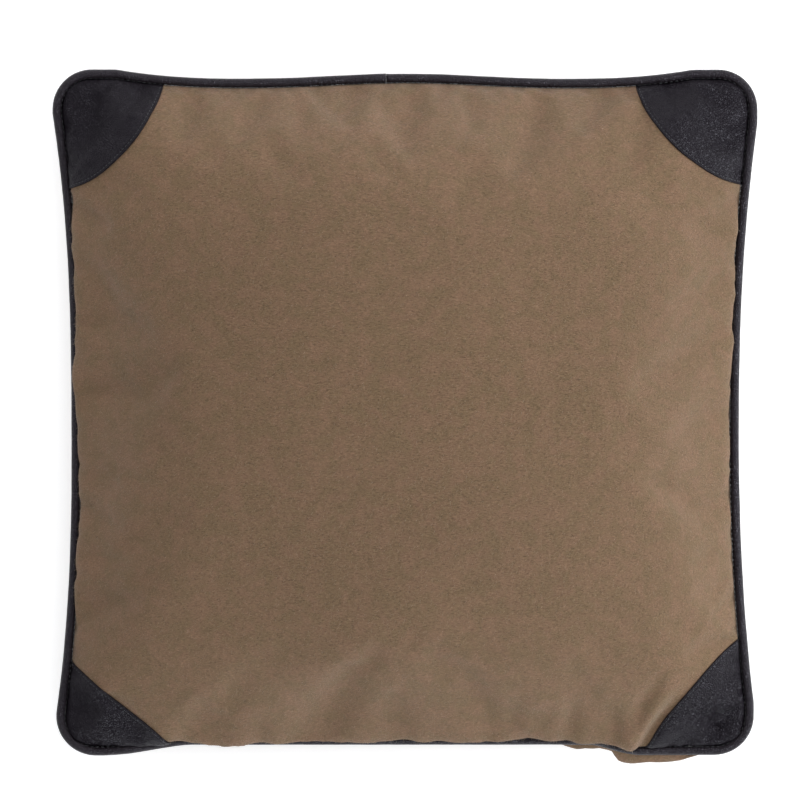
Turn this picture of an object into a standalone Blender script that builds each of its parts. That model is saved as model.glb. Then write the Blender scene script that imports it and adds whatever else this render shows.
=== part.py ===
"""Square throw pillow: a wool cover with leather corners and piping, a hidden zip and an insert.

The pillow lies on its back. +Z points out of its front face, +Y to its top edge and
X runs across it. The origin is the middle of the face it rests on. Sizes are metres.
"""

import math

import bmesh
import bpy
from mathutils import Vector

# Cover
COVER_WIDTH = 0.460  # over the piping, corner to corner along X
COVER_LENGTH = 0.451  # the same along Y
FRONT_RISE = 0.075  # crown of the front above the seam
BACK_RISE = 0.078  # the back's crown if nothing flattened it
SEAM_HEIGHT = 0.055  # seam above the surface that the pillow rests on
SIDE_PULL_IN = 0.011  # how far the left and right sides draw in between the corners
END_PULL_IN = 0.007  # the same for the top and bottom
CORNER_RADIUS = 0.020
SIDE_WALL = 0.012  # height over which the cloth stands straight up from the seam
CORNER_WALL = 0.004
WOOL_THICKNESS = 0.0018
SEAM_GAP = 0.0003  # between the two panels' edges
LAYER_GAP = 0.0003  # between pieces that touch
CELLS = 20  # quads along each side of a panel

# Leather corners and piping
LEATHER_THICKNESS = 0.0011
PATCH_LEG = 0.076  # a patch's length along each side
PATCH_DIAGONAL = 0.642  # where its curved edge crosses the diagonal, as a share of the leg
PIPING_DIAMETER = 0.006
PIPING_WALL = 0.001
CORD_CLEARANCE = 0.0003
PIPING_JOIN_X = -0.012  # where the piping's two ends meet on the top edge
PIPING_JOIN_GAP = 0.0003

# Insert
INSERT_SIDE_SETBACK = 0.006  # the insert's left and right edges behind the cover's face
INSERT_END_SETBACK = 0.009  # its top and bottom edges, which leave room for the zip
INSERT_CORNER_RADIUS = 0.030
INSERT_WALL = 0.003
CASING_THICKNESS = 0.0005
CROWN_GAP = 0.0004  # between the insert and the cover at the crown
FILLING_GAP = 0.0009  # between the casing and its filling

# Zip
ZIP_LENGTH = 0.250
ZIP_CENTRE_X = -0.010
ZIP_END_TAPE = 0.006  # tape past each end of the coils
TAPE_THICKNESS = 0.0006
UPPER_TAPE_WIDTH = 0.0105
LOWER_TAPE_WIDTH = 0.0065
TAPE_EDGE_GAP = 0.0002  # from a tape's edge to the slit
COIL_RADIUS = 0.0008
STOP_LENGTH = 0.0025
NECK_HEIGHT = 0.001
NECK_CLEARANCE = 0.0003
SLIDER_LENGTH = 0.009
SLIDER_PLATE = 0.001
SLIDER_FLANGE = 0.0008
ARM_WIDTH = 0.002
ARM_THICKNESS = 0.0006
LUG_HEIGHT = 0.0008
PULL_PIN_RADIUS = 0.0006
PULL_BORE_RADIUS = 0.0008
PULL_EYE_RADIUS = 0.00135
PULL_LENGTH = 0.020
PULL_TAB_START = 0.004
PULL_TAB_HEIGHT = 0.005
PULL_THICKNESS = 0.001
ROUND_SIDES = 12

# Derived sizes
PIPING_RADIUS = PIPING_DIAMETER / 2
PIPING_OFFSET = PIPING_RADIUS + LAYER_GAP  # piping's centreline outside the panels
PANEL_HALF_WIDTH = COVER_WIDTH / 2 - PIPING_OFFSET - PIPING_RADIUS
PANEL_HALF_LENGTH = COVER_LENGTH / 2 - PIPING_OFFSET - PIPING_RADIUS
ZIP_FACE_Y = -(PANEL_HALF_LENGTH - END_PULL_IN)  # the panels' outer face along the zip
SLIT_HEIGHT = NECK_HEIGHT + 2 * NECK_CLEARANCE
ZIP_Z = SEAM_HEIGHT - PIPING_RADIUS - LAYER_GAP - NECK_HEIGHT / 2
TAPE_LENGTH = ZIP_LENGTH + 2 * ZIP_END_TAPE
STRAIGHT_HALF = TAPE_LENGTH / 2 + abs(ZIP_CENTRE_X)  # the seam is straight this far out
TAPE_Y = ZIP_FACE_Y + WOOL_THICKNESS + LAYER_GAP + TAPE_THICKNESS / 2
COIL_Y = TAPE_Y + TAPE_THICKNESS / 2 + LAYER_GAP + COIL_RADIUS
COIL_RISE = SLIT_HEIGHT / 2 + COIL_RADIUS


def clear_scene():
    for item in list(bpy.data.objects):
        bpy.data.objects.remove(item, do_unlink=True)


def new_collection(name):
    collection = bpy.data.collections.new(name)
    bpy.context.scene.collection.children.link(collection)
    return collection


def new_material(name, colour, roughness, metallic=0.0):
    material = bpy.data.materials.new(name)
    material.use_nodes = True
    shader = material.node_tree.nodes["Principled BSDF"]
    shader.inputs["Base Color"].default_value = (*colour, 1.0)
    shader.inputs["Roughness"].default_value = roughness
    shader.inputs["Metallic"].default_value = metallic
    return material


clear_scene()
PARTS = new_collection("throw_pillow")
CUTTERS = new_collection("cutters")

WOOL = new_material("wool", (0.205, 0.137, 0.083), 0.95)
LEATHER = new_material("leather", (0.022, 0.018, 0.019), 0.5)
TICKING = new_material("ticking", (0.78, 0.76, 0.70), 0.9)
FILLING = new_material("filling", (0.88, 0.88, 0.86), 1.0)
CORD = new_material("cord", (0.70, 0.66, 0.56), 0.9)
TAPE = new_material("tape", (0.110, 0.080, 0.055), 0.85)
NYLON = new_material("nylon", (0.090, 0.065, 0.045), 0.4)
BRONZE = new_material("bronze", (0.160, 0.115, 0.070), 0.4, 1.0)


# ---------------------------------------------------------------- helpers


def place(name, data, material, location=(0, 0, 0), collection=PARTS):
    item = bpy.data.objects.new(name, data)
    item.location = location
    collection.objects.link(item)
    if material:
        data.materials.append(material)
    return item


def to_mesh(bm, name, smooth=False):
    mesh = bpy.data.meshes.new(name)
    bm.to_mesh(mesh)
    bm.free()
    if smooth:
        mesh.shade_smooth()
    return mesh


def hide_cutter(item):
    item.display_type = "WIRE"
    item.hide_render = True
    return item


def box_mesh(name, size, centre):
    bm = bmesh.new()
    bmesh.ops.create_cube(bm, size=1)
    bmesh.ops.scale(bm, vec=Vector(size), verts=bm.verts)
    bmesh.ops.translate(bm, vec=Vector(centre), verts=bm.verts)
    return to_mesh(bm, name)


def upright_cylinder_mesh(name, radius, height, centre, sides=ROUND_SIDES):
    bm = bmesh.new()
    bmesh.ops.create_cone(
        bm, cap_ends=True, segments=sides, radius1=radius, radius2=radius, depth=height
    )
    bmesh.ops.translate(bm, vec=Vector(centre), verts=bm.verts)
    return to_mesh(bm, name)


def boolean(item, other, operation):
    modifier = item.modifiers.new(f"{operation.lower()}_{other.name}", "BOOLEAN")
    modifier.operation = operation
    modifier.object = other
    modifier.solver = "EXACT"


def helper(name, mesh, location=(0, 0, 0)):
    return hide_cutter(place(name, mesh, None, location, CUTTERS))


def solidify(item, thickness, offset):
    modifier = item.modifiers.new("thickness", "SOLIDIFY")
    modifier.thickness = thickness
    modifier.offset = offset
    modifier.use_even_offset = True
    modifier.use_rim = True


# ------------------------------------------------------- the pillow's form


def ease(t):
    t = min(max(t, 0.0), 1.0)
    return t * t * (3 - 2 * t)


def bow(distance, straight, end):
    """1 along the straight middle of a side, falling to 0 where its corner starts."""
    return 1 - ease((abs(distance) - straight) / (end - straight))


def sides_bow(x, y):
    """How far a point is along the top or bottom, and along the left or right."""
    along_x = bow(x, STRAIGHT_HALF, PANEL_HALF_WIDTH - CORNER_RADIUS)
    along_y = bow(y, 0.0, PANEL_HALF_LENGTH - CORNER_RADIUS)
    return along_x, along_y


def plan_point(u, v, half_width, half_length, radius):
    """Place in the seam's plane of a point of the unit square, corners rounded, sides drawn in."""
    x, y = half_width * u, half_length * v
    across = (abs(x) - (half_width - radius)) / radius
    along = (abs(y) - (half_length - radius)) / radius
    if across > 0 and along > 0:
        rounded_x = half_width - radius + radius * across * math.sqrt(1 - along**2 / 2)
        rounded_y = half_length - radius + radius * along * math.sqrt(1 - across**2 / 2)
        x, y = math.copysign(rounded_x, x), math.copysign(rounded_y, y)
    along_x, along_y = sides_bow(x, y)
    return (
        x - SIDE_PULL_IN * along_y * x / half_width,
        y - END_PULL_IN * along_x * y / half_length,
    )


def grid_step(index):
    """Grid line 0 and 1 both lie on the edge, and the others crowd towards it."""
    share = min(max((index - 1) / CELLS, 0.0), 1.0)
    return math.sin(math.pi * (share - 0.5))


def pillow_surface(half_width, half_length, radius, rise, wall, side, flat=None):
    """One half of a pillow as an open surface on a square grid, edge at the seam.

    side is 1 for the front and -1 for the back. Where flat is given the crown is pressed
    to that distance from the seam.
    """
    bm = bmesh.new()
    lines = CELLS + 2
    bmesh.ops.create_grid(bm, x_segments=lines, y_segments=lines, size=1)
    side_wall, corner_wall = wall
    for vert in bm.verts:
        column, row = (round((c + 1) / 2 * lines) for c in vert.co.xy)
        u, v = grid_step(column), grid_step(row)
        x, y = plan_point(u, v, half_width, half_length, radius)
        depth = SEAM_GAP / 2
        if 0 < column < lines and 0 < row < lines:
            along_x, along_y = sides_bow(x, y)
            upright = 1 - (1 - along_x) * (1 - along_y)
            start = corner_wall + (side_wall - corner_wall) * upright
            dome = math.sqrt(max((1 - u * u) * (1 - v * v), 0.0))
            depth = start + (rise - start) * dome
        if flat is not None:
            depth = min(depth, flat)
        vert.co = (x, y, SEAM_HEIGHT + side * depth)
    bmesh.ops.remove_doubles(bm, verts=bm.verts, dist=1e-6)
    if side < 0:
        bmesh.ops.reverse_faces(bm, faces=bm.faces)
    # Every layer has the same triangles, so layers laid on each other stay parallel.
    bmesh.ops.triangulate(bm, faces=bm.faces, quad_method="FIXED")
    return bm


def cover_surface(side):
    return pillow_surface(
        PANEL_HALF_WIDTH,
        PANEL_HALF_LENGTH,
        CORNER_RADIUS,
        FRONT_RISE if side > 0 else BACK_RISE,
        (SIDE_WALL, CORNER_WALL),
        side,
        None if side > 0 else SEAM_HEIGHT,
    )


def insert_surface(side):
    below = WOOL_THICKNESS + CROWN_GAP
    rise = FRONT_RISE if side > 0 else BACK_RISE
    return pillow_surface(
        PANEL_HALF_WIDTH - INSERT_SIDE_SETBACK,
        PANEL_HALF_LENGTH - INSERT_END_SETBACK,
        INSERT_CORNER_RADIUS,
        rise - below,
        (INSERT_WALL, INSERT_WALL),
        side,
        None if side > 0 else SEAM_HEIGHT - below,
    )


def sink(bm, depth):
    """Moves an open surface inwards, every face by the same depth."""
    bm.normal_update()
    moves = [vert.normal * depth * vert.calc_shell_factor() for vert in bm.verts]
    for vert, move in zip(bm.verts, moves):
        vert.co -= move


def seam_loop(offset):
    """Points of the seam's line, moved outwards, from the piping's join round to it again."""
    steps = [grid_step(index + 1) for index in range(CELLS)]
    square = [(s, 1.0) for s in steps]
    square += [(1.0, -s) for s in steps]
    square += [(-s, -1.0) for s in steps]
    square += [(-1.0, s) for s in steps]
    seam = [
        Vector(plan_point(u, v, PANEL_HALF_WIDTH, PANEL_HALF_LENGTH, CORNER_RADIUS))
        for u, v in square
    ]
    points = []
    for index, point in enumerate(seam):
        before = (point - seam[index - 1]).normalized()
        after = (seam[(index + 1) % len(seam)] - point).normalized()
        outwards = Vector((-before.y - after.y, before.x + after.x)).normalized()
        points.append(point + outwards * offset / math.sqrt((1 + before.dot(after)) / 2))
    top_y = PANEL_HALF_LENGTH - END_PULL_IN + offset
    right_of_join = [p for p in points[:CELLS] if p.x > PIPING_JOIN_X + PIPING_RADIUS]
    left_of_join = [p for p in points[:CELLS] if p.x < PIPING_JOIN_X - PIPING_RADIUS]
    start = [Vector((PIPING_JOIN_X + PIPING_JOIN_GAP / 2, top_y))]
    end = [Vector((PIPING_JOIN_X - PIPING_JOIN_GAP / 2, top_y))]
    return start + right_of_join + points[CELLS:] + left_of_join + end


def seam_curve(name, points, radius, caps):
    curve = bpy.data.curves.new(name, "CURVE")
    curve.dimensions = "3D"
    curve.twist_mode = "Z_UP"
    curve.bevel_depth = radius
    curve.bevel_resolution = 2
    curve.use_fill_caps = caps
    spline = curve.splines.new("POLY")
    spline.points.add(len(points) - 1)
    for point, (x, y) in zip(spline.points, points):
        point.co = (x, y, SEAM_HEIGHT, 1.0)
    return curve


# ---------------------------------------------------------------- cover


def make_panels():
    front = place("front_panel", to_mesh(cover_surface(1), "front_panel", True), WOOL)
    solidify(front, WOOL_THICKNESS, -1)
    back = place("back_panel", to_mesh(cover_surface(-1), "back_panel", True), WOOL)
    solidify(back, WOOL_THICKNESS, -1)
    slot_bottom = ZIP_Z - SLIT_HEIGHT / 2
    slot_top = SEAM_HEIGHT + WOOL_THICKNESS
    slot = helper(
        "zip_slot",
        box_mesh(
            "zip_slot",
            (ZIP_LENGTH + 2 * STOP_LENGTH, 3 * WOOL_THICKNESS, slot_top - slot_bottom),
            (
                ZIP_CENTRE_X,
                ZIP_FACE_Y + WOOL_THICKNESS / 2,
                (slot_top + slot_bottom) / 2,
            ),
        ),
    )
    boolean(back, slot, "DIFFERENCE")


def make_patch(name, sign_x, sign_y):
    """A leather quarter-round that lies on one corner of the front panel."""
    bm = cover_surface(1)
    reach = 1.5 * PATCH_LEG
    corner_x = sign_x * (PANEL_HALF_WIDTH + PIPING_OFFSET)
    corner_y = sign_y * (PANEL_HALF_LENGTH + PIPING_OFFSET)
    far = []
    for face in bm.faces:
        centre = face.calc_center_median()
        if max(abs(centre.x - corner_x), abs(centre.y - corner_y)) > reach:
            far.append(face)
    bmesh.ops.delete(bm, geom=far, context="FACES")
    patch = place(name, to_mesh(bm, name, True), LEATHER)
    solidify(patch, LEATHER_THICKNESS, 1 + 2 * LAYER_GAP / LEATHER_THICKNESS)
    share = (1 - 2 * PATCH_DIAGONAL**2) / (2 - 4 * PATCH_DIAGONAL)  # centre beyond the corner
    radius = PATCH_LEG * math.hypot(1 - share, share)
    bottom = SEAM_HEIGHT + PIPING_RADIUS + LAYER_GAP
    outline = helper(
        f"{name}_outline",
        upright_cylinder_mesh(
            f"{name}_outline",
            radius,
            FRONT_RISE,
            (
                corner_x - sign_x * share * PATCH_LEG,
                corner_y - sign_y * share * PATCH_LEG,
                bottom + FRONT_RISE / 2,
            ),
            sides=72,
        ),
    )
    boolean(patch, outline, "INTERSECT")


def make_patches():
    for end, sign_y in (("top", 1), ("bottom", -1)):
        for hand, sign_x in (("left", -1), ("right", 1)):
            make_patch(f"corner_patch_{end}_{hand}", sign_x, sign_y)


def make_piping():
    loop = seam_loop(PIPING_OFFSET)
    cover = place(
        "piping_cover", seam_curve("piping_cover", loop, PIPING_RADIUS, False), LEATHER
    )
    solidify(cover, PIPING_WALL, -1)
    cord_radius = PIPING_RADIUS - PIPING_WALL - CORD_CLEARANCE
    place("piping_cord", seam_curve("piping_cord", loop, cord_radius, True), CORD)


# ---------------------------------------------------------------- insert


def make_insert():
    for name, side in (("insert_casing_front", 1), ("insert_casing_back", -1)):
        casing = place(name, to_mesh(insert_surface(side), name, True), TICKING)
        solidify(casing, CASING_THICKNESS, -1)
    bm, lower = insert_surface(1), insert_surface(-1)
    for half in (bm, lower):
        sink(half, CASING_THICKNESS + FILLING_GAP)
    lower = to_mesh(lower, "filling_lower")
    bm.from_mesh(lower)
    bpy.data.meshes.remove(lower)
    for vert in bm.verts:
        if abs(vert.co.z - SEAM_HEIGHT) < SEAM_GAP:
            vert.co.z = SEAM_HEIGHT
    bmesh.ops.remove_doubles(bm, verts=bm.verts, dist=1e-6)
    place("insert_filling", to_mesh(bm, "insert_filling", True), FILLING)


# ---------------------------------------------------------------- zip


def make_tapes():
    upper_edge = ZIP_Z + SLIT_HEIGHT / 2 + TAPE_EDGE_GAP
    lower_edge = ZIP_Z - SLIT_HEIGHT / 2 - TAPE_EDGE_GAP
    tapes = (
        ("zip_tape_upper", UPPER_TAPE_WIDTH, upper_edge + UPPER_TAPE_WIDTH / 2),
        ("zip_tape_lower", LOWER_TAPE_WIDTH, lower_edge - LOWER_TAPE_WIDTH / 2),
    )
    for name, width, middle in tapes:
        mesh = box_mesh(name, (TAPE_LENGTH, TAPE_THICKNESS, width), (0, 0, 0))
        place(name, mesh, TAPE, (ZIP_CENTRE_X, TAPE_Y, middle))


def make_coils():
    for name, side in (("zip_coil_upper", 1), ("zip_coil_lower", -1)):
        mesh = upright_cylinder_mesh(name, COIL_RADIUS, ZIP_LENGTH, (0, 0, 0))
        mesh.shade_smooth()
        mesh.set_sharp_from_angle(angle=math.radians(40))
        coil = place(name, mesh, NYLON, (ZIP_CENTRE_X, COIL_Y, ZIP_Z + side * COIL_RISE))
        coil.rotation_euler.y = math.pi / 2


def make_stops():
    """Crimped blocks that close both coils' ends."""
    size = (STOP_LENGTH, 2 * COIL_RADIUS, 2 * (COIL_RISE + COIL_RADIUS))
    reach = ZIP_LENGTH / 2 + LAYER_GAP + STOP_LENGTH / 2
    for name, side in (("zip_stop_left", -1), ("zip_stop_right", 1)):
        stop = place(
            name,
            box_mesh(name, size, (0, 0, 0)),
            BRONZE,
            (ZIP_CENTRE_X + side * reach, COIL_Y, ZIP_Z),
        )
        rounding = stop.modifiers.new("rounding", "BEVEL")
        rounding.width = STOP_LENGTH / 8
        rounding.segments = 1


def make_slider():
    """Channel that wraps both coils, a neck through the slit and a pin for the pull."""
    closed_x = ZIP_CENTRE_X + ZIP_LENGTH / 2 - LAYER_GAP - SLIDER_LENGTH / 2
    origin = Vector((closed_x, COIL_Y, ZIP_Z))
    coil_back = COIL_RADIUS + LAYER_GAP  # plate's near face behind the coils' centres
    flange_in = COIL_RISE + COIL_RADIUS + LAYER_GAP
    half_height = flange_in + SLIDER_FLANGE
    plate = box_mesh(
        "zip_slider",
        (SLIDER_LENGTH, SLIDER_PLATE, 2 * half_height),
        (0, coil_back + SLIDER_PLATE / 2, 0),
    )
    slider = place("zip_slider", plate, BRONZE, origin)
    flange_depth = COIL_RADIUS + coil_back + SLIDER_PLATE / 2
    arm_face = ZIP_FACE_Y - LAYER_GAP - COIL_Y  # arm's inner face from the coils' centres
    arm_out = arm_face - ARM_THICKNESS
    pin_y = arm_out - LAYER_GAP - PULL_EYE_RADIUS
    lug_out = pin_y - PULL_PIN_RADIUS - NECK_CLEARANCE
    top = NECK_HEIGHT / 2
    lug_gap = PULL_TAB_HEIGHT - 2 * LUG_HEIGHT
    bottom = top - lug_gap - 2 * LUG_HEIGHT
    pieces = []
    for side in (1, -1):
        pieces.append(
            (
                (SLIDER_LENGTH, flange_depth, SLIDER_FLANGE),
                (0, flange_depth / 2 - COIL_RADIUS, side * (flange_in + SLIDER_FLANGE / 2)),
            )
        )
    neck_depth = coil_back + SLIDER_PLATE / 2 - arm_out
    pieces.append(((ARM_WIDTH, neck_depth, NECK_HEIGHT), (0, arm_out + neck_depth / 2, 0)))
    pieces.append(
        (
            (ARM_WIDTH, ARM_THICKNESS, top - bottom),
            (0, arm_out + ARM_THICKNESS / 2, (top + bottom) / 2),
        )
    )
    for lug_z in (top - LUG_HEIGHT / 2, bottom + LUG_HEIGHT / 2):
        pieces.append(
            (
                (ARM_WIDTH, arm_face - lug_out, LUG_HEIGHT),
                (0, (arm_face + lug_out) / 2, lug_z),
            )
        )
    for index, (size, centre) in enumerate(pieces):
        name = f"slider_piece_{index}"
        boolean(slider, helper(name, box_mesh(name, size, centre), origin), "UNION")
    pin = upright_cylinder_mesh(
        "slider_pin",
        PULL_PIN_RADIUS,
        top - bottom - LUG_HEIGHT,
        (0, pin_y, (top + bottom) / 2),
    )
    boolean(slider, helper("slider_pin", pin, origin), "UNION")
    hinge = origin + Vector((0, pin_y, (top + bottom) / 2))
    return slider, hinge, lug_gap


def make_pull(slider, hinge, lug_gap):
    """The tab that hangs on the slider's pin, lying back along the zip."""
    eye_height = lug_gap - 2 * LAYER_GAP
    eye = upright_cylinder_mesh("zip_pull", PULL_EYE_RADIUS, eye_height, (0, 0, 0), 16)
    pull = place("zip_pull", eye, BRONZE, hinge)
    shank = box_mesh(
        "pull_shank",
        (PULL_TAB_START + PULL_THICKNESS, PULL_THICKNESS, eye_height),
        (-(PULL_TAB_START + PULL_THICKNESS) / 2, 0, 0),
    )
    tab_length = PULL_LENGTH - PULL_TAB_START
    tab = box_mesh(
        "pull_tab",
        (tab_length, PULL_THICKNESS, PULL_TAB_HEIGHT),
        (-PULL_TAB_START - tab_length / 2, 0, 0),
    )
    boolean(pull, helper("pull_shank", shank, hinge), "UNION")
    boolean(pull, helper("pull_tab", tab, hinge), "UNION")
    bore = upright_cylinder_mesh("pull_bore", PULL_BORE_RADIUS, 2 * eye_height, (0, 0, 0))
    boolean(pull, helper("pull_bore", bore, hinge), "DIFFERENCE")
    hole = upright_cylinder_mesh(
        "pull_hole", PULL_TAB_HEIGHT / 4, 3 * PULL_THICKNESS, (0, 0, 0)
    )
    hole_cutter = helper(
        "pull_hole",
        hole,
        hinge + Vector((-PULL_LENGTH + PULL_TAB_HEIGHT / 2, 0, 0)),
    )
    hole_cutter.rotation_euler.x = math.pi / 2
    boolean(pull, hole_cutter, "DIFFERENCE")
    pull.parent = slider
    pull.location = hinge - slider.location


make_panels()
make_patches()
make_piping()
make_insert()
make_tapes()
make_coils()
make_stops()
make_pull(*make_slider())
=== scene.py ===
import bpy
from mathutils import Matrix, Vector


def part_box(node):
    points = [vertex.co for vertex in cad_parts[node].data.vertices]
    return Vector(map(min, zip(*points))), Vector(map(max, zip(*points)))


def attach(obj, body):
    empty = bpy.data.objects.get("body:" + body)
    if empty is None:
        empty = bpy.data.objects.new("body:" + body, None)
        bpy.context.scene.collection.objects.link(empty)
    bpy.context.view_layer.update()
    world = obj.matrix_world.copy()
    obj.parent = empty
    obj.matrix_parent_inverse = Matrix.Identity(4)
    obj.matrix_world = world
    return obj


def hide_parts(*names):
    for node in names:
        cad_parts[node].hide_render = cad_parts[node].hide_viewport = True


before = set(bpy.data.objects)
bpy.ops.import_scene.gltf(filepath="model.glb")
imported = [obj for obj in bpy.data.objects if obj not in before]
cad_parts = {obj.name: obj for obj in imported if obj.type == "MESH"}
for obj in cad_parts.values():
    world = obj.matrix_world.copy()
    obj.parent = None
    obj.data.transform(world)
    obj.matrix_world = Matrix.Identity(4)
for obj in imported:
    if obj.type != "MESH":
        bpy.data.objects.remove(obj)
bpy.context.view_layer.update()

import math

import bmesh
import bpy
import numpy as np
from mathutils import Vector, noise

scene = bpy.context.scene


def nodeBox(name):
    low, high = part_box(name)
    return np.array(low, float), np.array(high, float)


# sizes read off the frame
frontLow, frontHigh = nodeBox("front_panel")
pipingLow, pipingHigh = nodeBox("piping_cover")
tapeLow, tapeHigh = nodeBox("zip_tape_upper")
lowerTapeLow, lowerTapeHigh = nodeBox("zip_tape_lower")

pillow = {
    "halfWidth": float(frontHigh[0]),  # the panels' outer face at the corners
    "halfLength": float(frontHigh[1]),
    "seamHeight": float(pipingLow[2] + pipingHigh[2]) / 2,
    "frontRise": 0.066,  # crowns before the filling pushes them out
    "backRise": 0.066,
    "cornerRadius": 0.020,
    "seamGap": 0.0003,
    "woolThickness": 0.0018,
    "cells": 84,  # quads along a side while the cloth is filled
    "finer": 2,  # times that in the finished cloth
    "hem": 0.03,  # width of the strip beside the seam that is kept apart from the other panel
    "seamWave": 0.0022,  # how far the seam wanders up and down, away from the zip
}
seamZ = pillow["seamHeight"]
seamFaceY = float(tapeLow[1]) - pillow["woolThickness"] - pillow["seamGap"]
zipStart, zipEnd = float(tapeLow[0]), float(tapeHigh[0])
slitHeight = float(tapeLow[2] + lowerTapeHigh[2]) / 2

# how far each side draws in between the corners; reach is the share of the half side it takes
sideCurves = {
    "left": {"pull": 0.0110, "reach": 0.90, "power": 2.6, "middle": 0.0},
    "right": {"pull": 0.0108, "reach": 0.87, "power": 2.3, "middle": 0.0},
    "top": {"pull": 0.0068, "reach": 0.84, "power": 5.0, "middle": 0.0042},
}
bottomCurve = {"leftEnd": 0.90, "rightEnd": 0.70, "start": 0.85}


def ease(t):
    t = np.clip(t, 0.0, 1.0)
    return t * t * (3 - 2 * t)


def sidePull(side, t):
    if side == "bottom":  # straight along the zip
        span = np.where(t < 0, -zipStart, zipEnd + 0.002) / pillow["halfWidth"]
        end = np.where(t < 0, bottomCurve["leftEnd"], bottomCurve["rightEnd"])
        share = np.clip((np.abs(t) - span) / (end - span), 0, 1) ** bottomCurve["start"]
        return (pillow["halfLength"] + seamFaceY) * (1 - ease(share))
    curve = sideCurves[side]
    share = np.clip(np.abs(t) / curve["reach"], 0, 1)
    return curve["pull"] * (1 - share ** curve["power"]) - curve["middle"] * np.exp(-((t / 0.32) ** 2))


def seamWave(x, y):
    nearZip = ease((-y - 0.10) / 0.08) * (1 - ease((np.abs(x) - 0.145) / 0.04))
    wave = np.sin(11 * x + 14 * y + 0.8) * 0.6 + np.sin(23 * y - 9 * x) * 0.4
    return pillow["seamWave"] * wave * (1 - nearZip)


def planPoints(u, v, inset=0.0, cornerRadius=None):
    # places in the seam's plane of points of a square that runs from -1 to 1
    halfWidth, halfLength = pillow["halfWidth"] - inset, pillow["halfLength"] - inset
    radius = cornerRadius or pillow["cornerRadius"]
    x, y = halfWidth * u, halfLength * v
    across = np.clip((np.abs(x) - (halfWidth - radius)) / radius, 0, 1)
    along = np.clip((np.abs(y) - (halfLength - radius)) / radius, 0, 1)
    roundX = halfWidth - radius + radius * across * np.sqrt(1 - along**2 / 2)
    roundY = halfLength - radius + radius * along * np.sqrt(1 - across**2 / 2)
    inCorner = (across > 0) & (along > 0)
    x = np.where(inCorner, np.sign(x) * roundX, x)
    y = np.where(inCorner, np.sign(y) * roundY, y)
    shareX, shareY = x / halfWidth, y / halfLength
    pullX = np.where(x < 0, sidePull("left", shareY), sidePull("right", shareY))
    pullY = np.where(y < 0, sidePull("bottom", shareX), sidePull("top", shareX))
    return x - pullX * shareX * np.abs(shareX) ** 0.5, y - pullY * shareY * np.abs(shareY) ** 0.5


def planOf(square):
    return np.stack(planPoints(square[..., 0], square[..., 1]), axis=-1)


def arcAngles(count, flatness):
    # angles that split half an ellipse into equal lengths
    fine = np.linspace(-math.pi / 2, math.pi / 2, 4001)
    steps = np.sqrt(np.cos(fine) ** 2 + (flatness * np.sin(fine)) ** 2)
    length = np.concatenate([[0], np.cumsum((steps[1:] + steps[:-1]) / 2)])
    return np.interp(np.linspace(0, length[-1], count + 1), length, fine)


def formGrid(side):
    # one half of the cover before it is filled, as a grid of points whose edge is the seam
    count = pillow["cells"]
    rise = pillow["frontRise"] if side > 0 else pillow["backRise"]
    angles = arcAngles(count, rise / pillow["halfWidth"])
    even = np.linspace(-1, 1, count + 1)
    angleU, angleV = np.meshgrid(angles, angles, indexing="ij")
    evenU, evenV = np.meshgrid(even, even, indexing="ij")
    u = np.sin(angleU) + (evenU - np.sin(angleU)) * np.abs(np.sin(angleV)) ** 6
    v = np.sin(angleV) + (evenV - np.sin(angleV)) * np.abs(np.sin(angleU)) ** 6
    x, y = planPoints(u, v)
    height = rise * np.cos(angleU) * np.cos(angleV)
    points = np.stack([x, y, seamZ + seamWave(x, y) + side * height], axis=-1)
    return points, np.stack([u, v], axis=-1)


# meshes from grids of points
def gridFaces(index, flip):
    corners = [index[:-1, :-1], index[1:, :-1], index[1:, 1:], index[:-1, 1:]]
    if flip:
        corners.reverse()
    return np.stack([corner.ravel() for corner in corners], axis=-1)


def ringOf(index):
    return np.concatenate([index[:-1, 0], index[-1, :-1], index[:0:-1, -1], index[0, :0:-1]])


def placed(name, mesh):
    piece = bpy.data.objects.new(name, mesh)
    scene.collection.objects.link(piece)
    return piece


def newPiece(name, points, faces, material=None, smooth=True):
    mesh = bpy.data.meshes.new(name)
    mesh.from_pydata(np.asarray(points).tolist(), [], np.asarray(faces).tolist())
    if smooth:
        mesh.shade_smooth()
    if material:
        mesh.materials.append(material)
    return placed(name, mesh)


def closedSheet(name, outer, inner, material, side=1):
    # outer and inner are grids of the sheet's two faces
    index = np.arange(outer[..., 0].size).reshape(outer.shape[:2])
    below = index + index.size
    ring, ringBelow = ringOf(index), ringOf(below)
    rim = np.stack([np.roll(ring, -1), ring, ringBelow, np.roll(ringBelow, -1)], axis=-1)
    if side < 0:
        rim = rim[:, ::-1]
    faces = np.concatenate([gridFaces(index, side < 0), gridFaces(below, side > 0), rim])
    points = np.concatenate([outer.reshape(-1, 3), inner.reshape(-1, 3)])
    return newPiece(name, points, faces, material)


def gridNormals(points, side):
    # at the seam they point level
    normals = np.cross(np.gradient(points, axis=0), np.gradient(points, axis=1)) * side
    normals /= np.linalg.norm(normals, axis=-1, keepdims=True)
    for edge in (np.s_[0, :], np.s_[-1, :], np.s_[:, 0], np.s_[:, -1]):
        level = normals[edge] * [1, 1, 0]
        normals[edge] = level / np.linalg.norm(level, axis=-1, keepdims=True)
    return normals


def cubicWeights(f):
    return (
        -0.5 * f + f**2 - 0.5 * f**3,
        1 - 2.5 * f**2 + 1.5 * f**3,
        0.5 * f + 2 * f**2 - 1.5 * f**3,
        -0.5 * f**2 + 0.5 * f**3,
    )


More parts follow.
